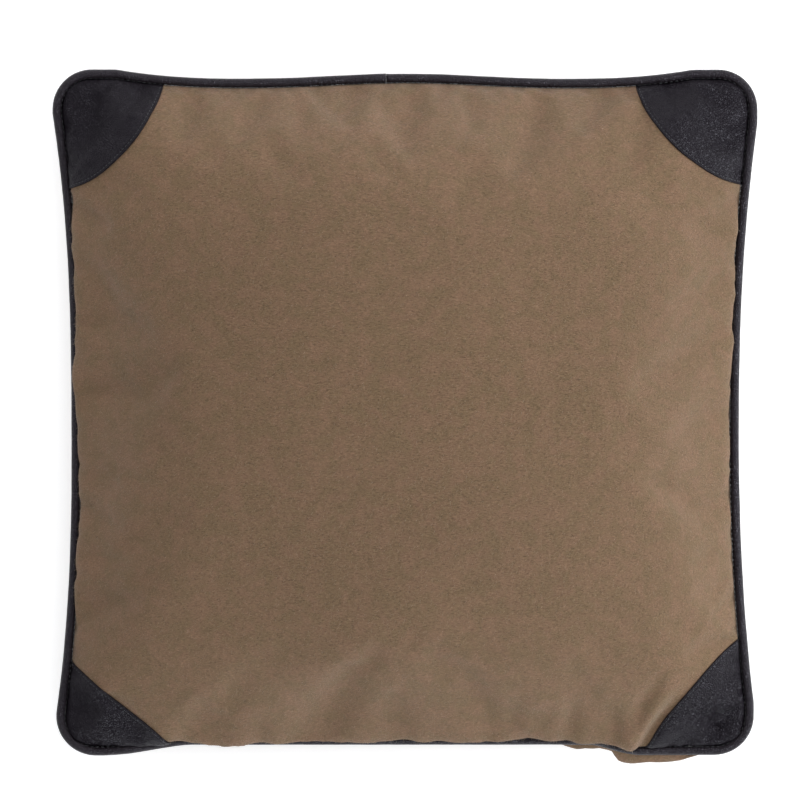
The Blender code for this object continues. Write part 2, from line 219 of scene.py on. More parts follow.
def sampled(grid, s, t):
    # the surface between the grid's points; s and t run from 0 to 1
    count = grid.shape[0] - 1
    wide = np.pad(grid, ((1, 1), (1, 1), (0, 0)), mode="reflect", reflect_type="odd")
    s, t = np.clip(s, 0, 1) * count, np.clip(t, 0, 1) * count
    cellS, cellT = np.minimum(s.astype(int), count - 1), np.minimum(t.astype(int), count - 1)
    total = 0
    for i, weightS in enumerate(cubicWeights(s - cellS)):
        for j, weightT in enumerate(cubicWeights(t - cellT)):
            total = total + wide[cellS + i, cellT + j] * (weightS * weightT)[..., None]
    return total


# the cover is filled like a real one: the cloth has some to spare and the filling pushes it out
filling = {
    "pressure": 2.1,
    "frames": 20,
    "steps": 6,
    "spareCloth": 0.016,
    "mass": 0.35,
    "stretch": 22.0,
    "bend": 1.6,
    "leatherBend": 8.0,
    "leatherReach": 0.070,  # from each corner
    "furthest": 0.018,  # how far any point may move
}
patch = {
    "thickness": 0.0011,
    "gap": 0.0003,
    "cells": 56,
    "edgeRound": 0.0009,
    "pressed": 0.00030,  # by the stitches, this deep, this far from the edge and this wide
    "pressedAt": 0.0017,
    "pressedWidth": 0.0008,
}


def fillCover(front, back):
    count = pillow["cells"]
    frontIndex = np.arange((count + 1) ** 2).reshape(count + 1, count + 1)
    inside = np.zeros(frontIndex.shape, bool)
    inside[1:-1, 1:-1] = True
    backIndex = frontIndex.copy()
    backIndex[inside] = frontIndex.size + np.arange(inside.sum())
    start = np.concatenate([front.reshape(-1, 3), back[inside]])
    faces = np.concatenate([gridFaces(frontIndex, False), gridFaces(backIndex, True)])
    cover = newPiece("filledCover", start, faces)
    held = cover.vertex_groups.new(name="seam")
    held.add(frontIndex[~inside].tolist(), 1.0, "REPLACE")
    stiff = cover.vertex_groups.new(name="leather")
    corner = np.hypot(
        np.abs(front[..., 0]) - pillow["halfWidth"], np.abs(front[..., 1]) - pillow["halfLength"]
    )
    stiff.add(frontIndex[corner < filling["leatherReach"]].tolist(), 1.0, "REPLACE")

    cloth = cover.modifiers.new("cloth", "CLOTH")
    settings = cloth.settings
    settings.quality = filling["steps"]
    settings.mass = filling["mass"]
    settings.tension_stiffness = filling["stretch"]
    settings.compression_stiffness = filling["stretch"]
    settings.shear_stiffness = filling["stretch"] / 3
    settings.bending_stiffness = filling["bend"]
    settings.bending_stiffness_max = filling["leatherBend"]
    settings.vertex_group_bending = "leather"
    settings.vertex_group_mass = "seam"
    settings.shrink_min = -filling["spareCloth"]
    settings.use_pressure = True
    settings.uniform_pressure_force = filling["pressure"]
    settings.air_damping = 4.0
    settings.effector_weights.gravity = 0.0
    cloth.collision_settings.use_collision = False
    cloth.collision_settings.use_self_collision = False
    cloth.point_cache.frame_start = 1
    cloth.point_cache.frame_end = filling["frames"]
    for number in range(1, filling["frames"] + 1):
        scene.frame_set(number)
    evaluated = cover.evaluated_get(bpy.context.evaluated_depsgraph_get())
    points = np.zeros(start.size)
    evaluated.data.vertices.foreach_get("co", points)
    scene.frame_set(1)
    mesh = cover.data
    bpy.data.objects.remove(cover)
    bpy.data.meshes.remove(mesh)

    move = points.reshape(-1, 3) - start
    size = np.linalg.norm(move, axis=1, keepdims=True)
    print("  furthest move", round(float(size.max()) * 1000, 1), "mm")
    points = start + move * np.minimum(1, filling["furthest"] / np.maximum(size, 1e-9))
    return points[frontIndex], points[backIndex]


print("making the cover's form")
frontGrid, squareGrid = formGrid(1)
backGrid, _ = formGrid(-1)
print("filling the cover")
frontGrid, backGrid = fillCover(frontGrid, backGrid)

# the filled cover is pressed to the heights it is known to have, and rests on the floor
rest = {"top": 0.1305, "squash": 0.010, "floor": 0.0004}


def settle(front, back):
    height = front[..., 2] - seamZ
    front[..., 2] = seamZ + height * (rest["top"] - seamZ) / height.max()
    # soft floor: depth below it is squashed flat
    over = back[..., 2] - rest["floor"]
    soft = rest["squash"]
    back[..., 2] = rest["floor"] + soft * np.logaddexp(0, over / soft)
    back[..., 2] = np.where(over > 6 * soft, rest["floor"] + over, back[..., 2])
    lowest = back[..., 2].min()
    back[..., 2] = seamZ - (seamZ - back[..., 2]) * (seamZ - rest["floor"]) / (seamZ - lowest)
    back[..., 2] = np.maximum(back[..., 2], rest["floor"])
    return front, back


frontGrid, backGrid = settle(frontGrid, backGrid)
frontGrid[..., 2] += pillow["seamGap"] / 2
backGrid[..., 2] -= pillow["seamGap"] / 2

# how many metres of cloth lie between the grid's lines
clothWidth = 2 * pillow["halfWidth"] * 1.045
clothLength = 2 * pillow["halfLength"] * 1.045


def refine(grid):
    count = pillow["cells"] * pillow["finer"]
    # lines crowd towards the seam, where the cloth turns over
    line = np.linspace(0, 1, count + 1)
    line = line - 0.55 * np.sin(2 * math.pi * line) / (2 * math.pi)
    s, t = np.meshgrid(line, line, indexing="ij")
    return sampled(grid, s, t), s, t


front, gridS, gridT = refine(frontGrid)
back, _, _ = refine(backGrid)
# where each point now stands on the square, from -1 to 1 both ways
moved = (frontGrid[..., :2] - planOf(squareGrid)) / [pillow["halfWidth"], pillow["halfLength"]]
standing = np.abs(squareGrid + moved)
standing = np.minimum(standing, 1 - 0.35 * (1 - np.abs(squareGrid)))
squareFine, _, _ = refine(np.sign(squareGrid) * standing)
edgeLeft, edgeRight = gridS * clothWidth, (1 - gridS) * clothWidth
edgeBottom, edgeTop = gridT * clothLength, (1 - gridT) * clothLength

fromSeams = np.minimum(np.minimum(edgeLeft, edgeRight), np.minimum(edgeBottom, edgeTop))

# places where the filling swells the cloth over the seam: side, middle, half width, size, height on it
swells = (
    ("bottom", -0.010, 0.150, 0.0106, 0.014),
    ("bottom", -0.125, 0.040, 0.0058, 0.014),
    ("bottom", 0.122, 0.026, 0.0048, 0.014),
    ("left", 0.000, 0.125, 0.0066, 0.012),
    ("left", 0.030, 0.022, 0.0034, 0.012),
    ("left", -0.110, 0.030, 0.0030, 0.012),
    ("left", 0.105, 0.040, 0.0040, 0.012),
    ("right", 0.000, 0.120, 0.0050, 0.012),
    ("right", 0.118, 0.016, 0.0028, 0.011),
    ("right", 0.082, 0.013, 0.0026, 0.011),
    ("right", 0.050, 0.012, 0.0018, 0.011),
    ("top", 0.060, 0.050, 0.0014, 0.014),
)
backSwells = (
    ("bottom", 0.186, 0.036, 0.0135, 0.017),
    ("bottom", 0.120, 0.050, 0.0235, 0.0225),
    ("left", 0.050, 0.070, 0.0040, 0.020),
    ("right", -0.020, 0.080, 0.0040, 0.020),
    ("top", -0.030, 0.090, 0.0045, 0.020),
)
outwards = {"left": (-1, 0), "right": (1, 0), "top": (0, 1), "bottom": (0, -1)}
fromSeam = {"left": edgeLeft, "right": edgeRight, "top": edgeTop, "bottom": edgeBottom}


def swell(points, places, sharpness):
    for side, middle, halfWidth, size, height in places:
        along = points[..., 1] if side in ("left", "right") else points[..., 0]
        distance = fromSeam[side]
        profile = (distance / height) * np.exp(1 - distance / height)
        amount = size * np.exp(-(((along - middle) / halfWidth) ** 2)) * profile**sharpness
        points[..., 0] += outwards[side][0] * amount
        points[..., 1] += outwards[side][1] * amount
    return points


# each corner's leather: which corner, its lengths along the two seams, how round its curved edge is
corners = {
    "corner_patch_top_left": (-1, 1, 0.0665, 0.0720, 0.635),
    "corner_patch_top_right": (1, 1, 0.0735, 0.0690, 0.645),
    "corner_patch_bottom_left": (-1, -1, 0.0765, 0.0580, 0.505),
    "corner_patch_bottom_right": (1, -1, 0.0660, 0.0725, 0.565),
}

# folds pressed into the front: a ridge round the lower right patch, a soft dip under the upper right one
folds = {
    "ridge": 0.0044,
    "ridgeDistance": 0.0115,
    "ridgeWidth": 0.0060,
    "valley": 0.0034,
    "dip": 0.0026,
    "pucker": 0.0034,
    "puckerMiddle": 0.028,  # up the cloth from the bottom seam
    "puckerReach": 0.015,
    "dent": 0.0036,
    "crumple": 0.0006,
    "crumpleScale": 130,
    "edge": 0.007,  # no fold moves the cloth at the seam itself
}


def patchRadius(corner, angle):
    # distance from the corner to the patch's curved edge, at an angle from its bottom or top seam
    _, _, across, along, diagonal = corner
    power = math.log(0.5) / math.log(diagonal)
    cos, sin = np.clip(np.cos(angle), 0, 1), np.clip(np.sin(angle), 0, 1)
    return ((cos / across) ** power + (sin / along) ** power) ** (-1 / power)


def fromCorner(corner):
    # level distances of the cloth from the two seams of a corner
    across = (1 - corner[0] * squareFine[..., 0]) * pillow["halfWidth"]
    along = (1 - corner[1] * squareFine[..., 1]) * pillow["halfLength"]
    return across, along


def beyondPatch(corner):
    across, along = fromCorner(corner)
    angle = np.arctan2(along, across)
    return np.hypot(across, along) - patchRadius(corner, angle), angle


def fold(points):
    normals = gridNormals(points, 1)
    lowerRight = corners["corner_patch_bottom_right"]
    ridge, angle = beyondPatch(lowerRight)
    middle = np.exp(-(((angle - 0.30) / 0.34) ** 2))
    shape = folds["ridge"] * np.exp(-(((ridge - folds["ridgeDistance"]) / folds["ridgeWidth"]) ** 2))
    shape -= folds["valley"] * np.exp(-(((ridge - 0.0030) / 0.0040) ** 2))
    move = shape * middle
    dip, angle = beyondPatch(corners["corner_patch_top_right"])
    nearMiddle = np.exp(-(((angle - 0.9) / 0.5) ** 2))
    move -= folds["dip"] * np.exp(-(((dip - 0.030) / 0.016) ** 2)) * nearMiddle
    for x, width, lean in ((0.106, 0.0062, 0.10), (0.139, 0.0055, -0.08), (0.070, 0.0070, 0.05)):
        away = points[..., 0] - x - lean * edgeBottom
        depth = np.exp(-(((edgeBottom - folds["puckerMiddle"]) / folds["puckerReach"]) ** 2))
        move -= folds["pucker"] * np.exp(-((away / width) ** 2)) * depth
    across, along = fromCorner(lowerRight)
    dent = np.exp(-(((across - 0.020) / 0.016) ** 2) - ((along - 0.019) / 0.0105) ** 2)
    move -= folds["dent"] * dent
    for corner in corners.values():
        across, along = fromCorner(corner)
        inPatch = ease(-beyondPatch(corner)[0] / 0.010)
        inPatch *= 1 + 2.5 * dent * (corner is lowerRight)
        for i, j in zip(*np.nonzero(inPatch > 0.01)):
            spot = Vector(points[i, j]) * folds["crumpleScale"]
            rough = noise.noise(spot) + 0.5 * noise.noise(spot * 2.3)
            move[i, j] += folds["crumple"] * inPatch[i, j] * rough
    move *= ease(fromSeams / folds["edge"])
    return points + normals * move[..., None]


print("shaping swells and folds")
front = fold(swell(front, swells, 2.5))
back = swell(back, backSwells, 1.2)


zipRoom = {
    "above": 0.0078,  # the front stands upright this far over the slit
    "fadeAbove": 0.0060,
    "reach": 0.05,  # how far up the cloth the front is held
    "lap": 0.0008,  # the back's edge stops this far under the slit
    "sinkReach": 0.040,
    "bulge": 0.0155,  # how far the back may stand out under the zip
    "bulgeTop": 0.0445,
    "bulgeFade": 0.0095,
}


def alongZip(x, before, fadeBefore, after, fadeAfter):
    # 1 along the zip, fading to 0 past its ends
    return ease((x - zipStart + before) / fadeBefore) * ease((zipEnd + after - x) / fadeAfter)


def makeRoomForZip(front, back):
    # along the zip both panels stand upright, and the back's edge stops under the slit
    near = alongZip(front[..., 0], 0.022, 0.020, 0.022, 0.020)
    near *= 1 - ease((front[..., 2] - slitHeight - zipRoom["above"]) / zipRoom["fadeAbove"])
    near *= edgeBottom < zipRoom["reach"]
    front[..., 1] += (np.minimum(front[..., 1], seamFaceY) - front[..., 1]) * near

    near = alongZip(back[..., 0], 0.012, 0.010, 0.012, 0.010)
    drop = seamZ - (slitHeight - zipRoom["lap"])
    back[..., 2] -= drop * np.clip(1 - edgeBottom / zipRoom["sinkReach"], 0, 1) ** 2 * near
    near = alongZip(back[..., 0], 0.028, 0.022, 0.022, 0.016)
    share = ease((zipRoom["bulgeTop"] - back[..., 2]) / zipRoom["bulgeFade"])
    allowed = seamFaceY - zipRoom["bulge"] * share
    upright = ease((back[..., 2] - 0.012) / 0.0285) * (1 - ease((edgeBottom - 0.030) / 0.045))
    above = np.maximum(back[..., 1] - seamFaceY, 0)
    back[..., 1] += (np.maximum(allowed - back[..., 1], 0) - above * upright) * near
    return front, back


front, back = makeRoomForZip(front, back)
frontNormals, backNormals = gridNormals(front, 1), gridNormals(back, -1)


# shader helpers
def newMaterial(name, colour, roughness):
    material = bpy.data.materials.new(name)
    material.use_nodes = True
    shader = material.node_tree.nodes["Principled BSDF"]
    shader.inputs["Base Color"].default_value = (*colour, 1)
    shader.inputs["Roughness"].default_value = roughness
    return material, shader, material.node_tree


def addNode(tree, kind, values=None, **settings):
    node = tree.nodes.new(kind)
    for name, value in settings.items():
        setattr(node, name, value)
    for key, value in (values or {}).items():
        if hasattr(value, "is_linked"):
            tree.links.new(value, node.inputs[key])
        else:
            node.inputs[key].default_value = value
    return node


def objectPlace(tree, turn=(0, 0, 0), scale=(1, 1, 1)):
    coords = addNode(tree, "ShaderNodeTexCoord").outputs["Object"]
    values = {"Vector": coords, "Rotation": turn, "Scale": scale}
    return addNode(tree, "ShaderNodeMapping", values).outputs["Vector"]


def noiseOf(tree, place, scale, detail=2.0, roughness=0.5, distortion=0.0):
    values = {
        "Vector": place,
        "Scale": scale,
        "Detail": detail,
        "Roughness": roughness,
        "Distortion": distortion,
    }
    return addNode(tree, "ShaderNodeTexNoise", values).outputs["Fac"]


def mapped(tree, value, fromLow, fromHigh, toLow, toHigh):
    values = {
        "Value": value,
        "From Min": fromLow,
        "From Max": fromHigh,
        "To Min": toLow,
        "To Max": toHigh,
    }
    return addNode(tree, "ShaderNodeMapRange", values).outputs["Result"]


def mathOf(tree, operation, first, second):
    return addNode(tree, "ShaderNodeMath", {0: first, 1: second}, operation=operation).outputs[0]


def summed(tree, first, second):
    return addNode(tree, "ShaderNodeVectorMath", {0: first, 1: second}, operation="ADD").outputs[0]


def mixColour(tree, factor, first, second, blend="MIX"):
    node = addNode(tree, "ShaderNodeMix", data_type="RGBA", blend_type=blend)
    for key, value in (("Factor_Float", factor), ("A_Color", first), ("B_Color", second)):
        socket = next(item for item in node.inputs if item.identifier == key)
        if hasattr(value, "is_linked"):
            tree.links.new(value, socket)
        else:
            socket.default_value = value if key == "Factor_Float" else (*value, 1)
    return next(item for item in node.outputs if item.identifier == "Result_Color")


def tinted(tree, colour, amount):
    # a colour made darker or lighter by a value around 1
    grey = addNode(tree, "ShaderNodeCombineColor", {0: amount, 1: amount, 2: amount}).outputs[0]
    return mixColour(tree, 1.0, colour, grey, "MULTIPLY")


def shade(tree, shader, colour, amount):
    tree.links.new(tinted(tree, colour, amount), shader.inputs["Base Color"])


def bumped(tree, shader, height, distance, strength=1.0):
    values = {"Height": height, "Distance": distance, "Strength": strength}
    node = addNode(tree, "ShaderNodeBump", values)
    tree.links.new(node.outputs["Normal"], shader.inputs["Normal"])


woolLook = {
    "pinkish": (0.186, 0.112, 0.069),
    "olive": (0.161, 0.105, 0.060),
    "streakLength": 0.0023,
    "streakWidth": 0.00055,
    "blotch": 0.0105,
    "sheen": 0.18,
    "sheenTint": (0.90, 0.84, 0.80, 1),
}


def makeWool(name):
    material, shader, tree = newMaterial(name, woolLook["olive"], 0.95)
    plain = objectPlace(tree)
    blotch = noiseOf(tree, plain, 1 / woolLook["blotch"], 3.0, 0.62, 0.6)
    colour = mixColour(
        tree, mapped(tree, blotch, 0.38, 0.62, 0, 1), woolLook["olive"], woolLook["pinkish"]
    )
    broad = mapped(tree, noiseOf(tree, plain, 7.0, 2.0), 0.3, 0.7, 0.95, 1.05)
    stretch = woolLook["streakLength"] / woolLook["streakWidth"]
    heights = []
    for turn, seed in ((0.62, 0.0), (-0.28, 3.1)):
        place = objectPlace(tree, (seed, 0, turn), (1, stretch, stretch))
        heights.append(noiseOf(tree, place, 1 / woolLook["streakLength"], 2.5, 0.6, 0.35))
    choose = mapped(tree, noiseOf(tree, plain, 160.0, 1.0), 0.44, 0.56, 0, 1)
    streak = addNode(tree, "ShaderNodeMix", {0: choose, 2: heights[0], 3: heights[1]}).outputs[0]
    fine = noiseOf(tree, plain, 1150.0, 2.0, 0.7)
    specks = mapped(tree, noiseOf(tree, plain, 620.0, 1.0, 0.6), 0.25, 0.36, 0.74, 1.0)
    amount = mathOf(tree, "MULTIPLY", mapped(tree, streak, 0.30, 0.70, 0.68, 1.32), broad)
    amount = mathOf(tree, "MULTIPLY", amount, specks)
    amount = mathOf(tree, "MULTIPLY", amount, mapped(tree, fine, 0.25, 0.75, 0.80, 1.20))
    shade(tree, shader, colour, amount)
    height = mathOf(tree, "ADD", streak, mathOf(tree, "MULTIPLY", fine, 0.35))
    bumped(tree, shader, height, 0.0011, 0.8)
    shader.inputs["Specular IOR Level"].default_value = 0.15
    shader.inputs["Sheen Weight"].default_value = woolLook["sheen"]
    shader.inputs["Sheen Roughness"].default_value = 0.38
    shader.inputs["Sheen Tint"].default_value = woolLook["sheenTint"]
    return material


leatherLook = {
    "colour": (0.0080, 0.0060, 0.0084),
    "worn": (0.012, 0.0092, 0.0125),
    # the same leather made lighter for the piping: a painted sheen
    "pipingColourWithPaintedSheen": (0.0135, 0.0100, 0.0125),
    "grain": 0.0015,
    "roughness": (0.23, 0.40),
    "specular": 0.15,
    "specularTint": (0.93, 0.88, 1.0, 1),
}


def makeLeather(name, creases):
    # creases are the cross wrinkles of a strip rolled round a cord; that strip also gets a lighter base
    # colour, a painted sheen for the light the round piping catches
    base = leatherLook["pipingColourWithPaintedSheen"] if creases else leatherLook["colour"]
    material, shader, tree = newMaterial(name, base, 0.45)
    plain = objectPlace(tree)
    bend = addNode(
        tree, "ShaderNodeTexNoise", {"Vector": plain, "Scale": 420.0, "Detail": 2.0}
    ).outputs["Color"]
    shift = addNode(
        tree, "ShaderNodeVectorMath", {0: bend, 1: (0.0011, 0.0011, 0.0011)}, operation="MULTIPLY"
    ).outputs[0]
    place = summed(tree, plain, shift)
    grain = addNode(
        tree,
        "ShaderNodeTexVoronoi",
        {"Vector": place, "Scale": 1 / leatherLook["grain"]},
        feature="DISTANCE_TO_EDGE",
    ).outputs["Distance"]
    pebble = mapped(tree, grain, 0.0, 0.26, 0.0, 1.0)
    fine = noiseOf(tree, plain, 3100.0, 2.0, 0.6)
    crumple = noiseOf(tree, plain, 210.0, 4.0, 0.62, 1.4)
    if creases:
        uv = addNode(tree, "ShaderNodeUVMap", uv_map="along").outputs["UV"]
        place = addNode(tree, "ShaderNodeMapping", {"Vector": uv, "Scale": (420, 60, 1)}).outputs[0]
        wrinkle = noiseOf(tree, place, 1.0, 3.0, 0.6, 0.8)
    else:
        wrinkle = noiseOf(tree, objectPlace(tree, (0, 0, 0.7), (1, 3.2, 1)), 120.0, 3.0, 0.6, 1.0)
    height = mathOf(tree, "MULTIPLY", pebble, 0.72)
    for layer, amount in ((fine, 0.06), (crumple, 0.55), (wrinkle, 0.55)):
        height = mathOf(tree, "ADD", height, mathOf(tree, "MULTIPLY", layer, amount))
    bumped(tree, shader, height, 0.00042, 0.9)
    worn = mapped(tree, crumple, 0.45, 0.75, 0.0, 0.8)
    colour = mixColour(tree, worn, base, leatherLook["worn"])
    shade(tree, shader, colour, mapped(tree, pebble, 0, 1, 0.62, 1.0))
    low, high = leatherLook["roughness"]
    rough = mapped(tree, noiseOf(tree, plain, 38.0, 3.0, 0.6), 0.3, 0.7, low, high)
    tree.links.new(rough, shader.inputs["Roughness"])
    shader.inputs["Specular IOR Level"].default_value = leatherLook["specular"] * (1.7 if creases else 1)
    shader.inputs["Specular Tint"].default_value = leatherLook["specularTint"]
    return material


def makeWoven(name, colour, pitch, depth, roughness=0.85, turn=0.0, contrast=0.25):
    # crossed threads, for casing and tape
    material, shader, tree = newMaterial(name, colour, roughness)
    place = objectPlace(tree, (0, 0, turn))
    waves = []
    for direction in ("X", "Y", "Z"):
        values = {"Vector": place, "Scale": 1 / pitch / 3.2, "Distortion": 0.6, "Detail": 1.0}
        node = addNode(tree, "ShaderNodeTexWave", values, bands_direction=direction)
        waves.append(node.outputs["Fac"])
    height = mathOf(tree, "MULTIPLY", waves[0], mathOf(tree, "MAXIMUM", waves[1], waves[2]))
    slub = noiseOf(tree, place, 0.6 / pitch, 3.0)
    height = mathOf(tree, "ADD", height, mathOf(tree, "MULTIPLY", slub, 0.5))
    amount = mapped(tree, height, 0.1, 1.1, 1 - contrast, 1 + contrast / 2)
    shade(tree, shader, colour, amount)
    bumped(tree, shader, height, depth)
    shader.inputs["Sheen Weight"].default_value = 0.1
    return material


def makeFluff(name):
    material, shader, tree = newMaterial(name, (0.88, 0.88, 0.86), 1.0)
    place = objectPlace(tree)
    tuft = noiseOf(tree, place, 70.0, 6.0, 0.7, 2.2)
    hair = noiseOf(tree, objectPlace(tree, (0.4, 0.2, 0.5), (1, 9, 9)), 260.0, 3.0, 0.7, 1.5)
    height = mathOf(tree, "ADD", tuft, mathOf(tree, "MULTIPLY", hair, 0.4))
    shade(tree, shader, (0.88, 0.88, 0.86), mapped(tree, height, 0.4, 1.0, 0.82, 1.04))
    bumped(tree, shader, height, 0.003)
    shader.inputs["Sheen Weight"].default_value = 0.4
    return material


def makeThread(name, colour, pitch, roughness=0.7):
    # fine twisted plies
    material, shader, tree = newMaterial(name, colour, roughness)
    place = objectPlace(tree, (0.5, 0.4, 0.7))
    ply = addNode(
        tree, "ShaderNodeTexWave", {"Vector": place, "Scale": 1 / pitch / 3.2, "Distortion": 1.2}
    ).outputs["Fac"]
    fuzz = noiseOf(tree, place, 2.0 / pitch, 3.0, 0.7)
    height = mathOf(tree, "ADD", ply, fuzz)
    amount = mapped(tree, height, 0.3, 1.5, 0.72, 1.12)
    shade(tree, shader, colour, amount)
    bumped(tree, shader, height, pitch / 5)
    return material


def makeNylon(name):
    material, shader, tree = newMaterial(name, (0.090, 0.065, 0.045), 0.42)
    place = objectPlace(tree)
    cloud = noiseOf(tree, place, 900.0, 3.0, 0.6)
    shade(tree, shader, (0.090, 0.065, 0.045), mapped(tree, cloud, 0.3, 0.7, 0.85, 1.15))
    tree.links.new(mapped(tree, cloud, 0.3, 0.7, 0.34, 0.52), shader.inputs["Roughness"])
    bumped(tree, shader, cloud, 0.00006)
    return material


def makeBronze(name):
    # antique bronze: dark in the hollows, rubbed bright in places
    material, shader, tree = newMaterial(name, (0.160, 0.115, 0.070), 0.4)
    place = objectPlace(tree)
    patina = noiseOf(tree, place, 520.0, 5.0, 0.65, 0.6)
    brush = noiseOf(tree, objectPlace(tree, (0, 0, 0), (1, 1, 14)), 900.0, 2.0)
    rubbed = mapped(tree, patina, 0.35, 0.65, 0, 1)
    colour = mixColour(tree, rubbed, (0.085, 0.060, 0.038), (0.235, 0.168, 0.098))
    tree.links.new(colour, shader.inputs["Base Color"])
    tree.links.new(mapped(tree, patina, 0.3, 0.7, 0.52, 0.28), shader.inputs["Roughness"])
    bumped(tree, shader, mathOf(tree, "ADD", patina, brush), 0.00005)
    shader.inputs["Metallic"].default_value = 1.0
    return material


print("mixing materials")
wool = makeWool("wool")
leather = makeLeather("leather", False)
pipingLeather = makeLeather("piping leather", True)
# ticking cloth, its colour kept dark as painted shade for where the casing shows through the zip's slit
ticking = makeWoven("ticking", (0.46, 0.41, 0.33), 0.0006, 0.0002)
fluff = makeFluff("filling")
cordTwist = makeThread("cord", (0.70, 0.66, 0.56), 0.0008)
tapeWeave = makeWoven("tape", (0.110, 0.080, 0.055), 0.0005, 0.00015, 0.85, 0.78, 0.5)
nylon = makeNylon("nylon")
bronze = makeBronze("bronze")
darkThread = makeThread("dark thread", (0.060, 0.062, 0.066), 0.0003, 0.6)
brownThread = makeThread("brown thread", (0.075, 0.050, 0.030), 0.0003, 0.75)
napFibre = makeThread("nap fibre", (0.380, 0.300, 0.220), 0.0004, 0.9)

def onCover(piece, slot, *nodes):
    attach(piece, "cover")
    if nodes:
        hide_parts(*nodes)
    return piece


print("sewing the panels")


def makePanel(name, outer, normals, side):
    inner = outer - normals * pillow["woolThickness"]
    # near the seam the inner face keeps to its own side of it
    stop = seamZ + seamWave(outer[..., 0], outer[..., 1]) + side * pillow["seamGap"] / 2
    if side > 0:
        kept = np.maximum(inner[..., 2], np.minimum(outer[..., 2], stop))
    else:
        kept = np.minimum(inner[..., 2], np.maximum(outer[..., 2], stop))
    inner[..., 2] = np.where(fromSeams < pillow["hem"], kept, inner[..., 2])
    return closedSheet(name, outer, inner, wool, side)


for name, outer, normals, side, node in (
    ("woolFront", front, frontNormals, 1, "front_panel"),
    ("woolBack", back, backNormals, -1, "back_panel"),
):
    panel = onCover(makePanel(name, outer, normals, side), "wool", node)

print("cutting the leather corners")


def onCloth(corner, across, along):
    # place on the front of a point at level distances from the two seams of a corner
    signX, signY = corner[:2]
    wanted = np.stack(
        [signX * (1 - across / pillow["halfWidth"]), signY * (1 - along / pillow["halfLength"])], axis=-1
    )
    slopes = np.stack(
        [np.gradient(squareFine[..., 0], axis=0), np.gradient(squareFine[..., 1], axis=1)], axis=-1
    ) * (front.shape[0] - 1)
    share = (wanted + 1) / 2
    for _ in range(24):
        error = wanted - sampled(squareFine, share[..., 0], share[..., 1])
        slope = np.maximum(sampled(slopes, share[..., 0], share[..., 1]), 0.25)
        share = np.clip(share + 0.8 * error / slope, 0, 1)
    place = sampled(front, share[..., 0], share[..., 1])
    normal = sampled(frontNormals, share[..., 0], share[..., 1])
    return place, normal / np.linalg.norm(normal, axis=-1, keepdims=True)


def patchGrid(corner, cells):
    a, b = np.meshgrid(np.linspace(0, 1, cells + 1), np.linspace(0, 1, cells + 1), indexing="ij")
    p, q = a * np.sqrt(1 - b**2 / 2), b * np.sqrt(1 - a**2 / 2)
    share = np.hypot(p, q)
    angle = np.arctan2(q, p)
    # rings crowd towards the curved edge
    share = 1 - (1 - share) ** 1.35
    reach = patchRadius(corner, angle)
    distance = reach * share
    return distance * np.cos(angle), distance * np.sin(angle), reach - distance


def makePatch(name, corner):
    across, along, fromEdge = patchGrid(corner, patch["cells"])
    place, normal = onCloth(corner, across, along)
    # thin where it goes into the seam, rounded at its curved edge, pressed down by the stitches
    seam = np.minimum(across, along)
    lift = np.minimum(patch["gap"], 0.00005 + 0.25 * seam)
    top = np.minimum(patch["gap"] + patch["thickness"], 0.00015 + 0.45 * seam)
    rounding = np.sqrt(np.clip(1 - (1 - np.clip(fromEdge / patch["edgeRound"], 0, 1)) ** 2, 0, 1))
    top = lift + (top - lift) * (0.30 + 0.70 * rounding)
    fromPress = (fromEdge - patch["pressedAt"]) / patch["pressedWidth"]
    pressed = patch["pressed"] * np.exp(-(fromPress**2))
    top = np.maximum(top - pressed, lift + 0.0001)
    outer = place + normal * top[..., None]
    inner = place + normal * lift[..., None]
    side = corner[0] * corner[1]
    piece = closedSheet(name.replace("corner_patch", "leather"), outer, inner, leather, side)
    return onCover(piece, "leather", name)


for name, corner in corners.items():
    makePatch(name, corner)

print("rolling the piping")
piping = {
    "radius": float(pipingHigh[2] - pipingLow[2]) / 2,
    "wall": 0.0010,
    "joinX": -0.012,
    "joinGap": 0.0001,
    "gap": 0.00005,  # between it and the panels
    "stations": 620,
    "sides": 20,
    "wrinkle": 0.035,
    "cordRadius": 0.0016,
}


def seamLine(offset, stations):
    # the seam's line from the join round to it again, clockwise from above, moved outwards
    dense = np.linspace(-1, 1, 400, endpoint=False)
    one = np.ones_like(dense)
    u = np.concatenate([dense, one, -dense, -one])
    v = np.concatenate([one, -dense, -one, dense])
    x, y = planPoints(u, v)
    loop = np.stack([x, y], axis=-1)
    tangent = np.roll(loop, -2, axis=0) - np.roll(loop, 2, axis=0)
    tangent /= np.linalg.norm(tangent, axis=1, keepdims=True)
    loop = loop + np.stack([-tangent[:, 1], tangent[:, 0]], axis=-1) * offset
    start = int(np.argmin(np.hypot(loop[:, 0] - piping["joinX"], loop[:, 1] - pillow["halfLength"])))
    loop = np.roll(loop, -start, axis=0)
    loop = np.concatenate([loop, loop[:1]])
    length = np.concatenate([[0], np.cumsum(np.linalg.norm(np.diff(loop, axis=0), axis=1))])
    at = np.linspace(piping["joinGap"] / 2, length[-1] - piping["joinGap"] / 2, stations)
    x, y = np.interp(at, length, loop[:, 0]), np.interp(at, length, loop[:, 1])
    z = seamZ + seamWave(x, y)
    line = np.stack([x, y, z], axis=-1)
    tangent = np.gradient(line, axis=0)
    tangent /= np.linalg.norm(tangent, axis=1, keepdims=True)
    out = np.cross([0, 0, 1], tangent)
    out /= np.linalg.norm(out, axis=1, keepdims=True)
    return line, tangent, out, at


def tubeRings(line, tangent, out, radii):
    # radii is stations by sides; side 0 points outwards and they turn upwards
    sides = radii.shape[1]
    angles = np.arange(sides) / sides * 2 * math.pi
    up = np.cross(tangent, out)
    up *= np.sign(up[:, 2:3])
    level = out[:, None, :] * np.cos(angles)[None, :, None]
    height = up[:, None, :] * np.sin(angles)[None, :, None]
    return line[:, None, :] + (level + height) * radii[..., None], angles


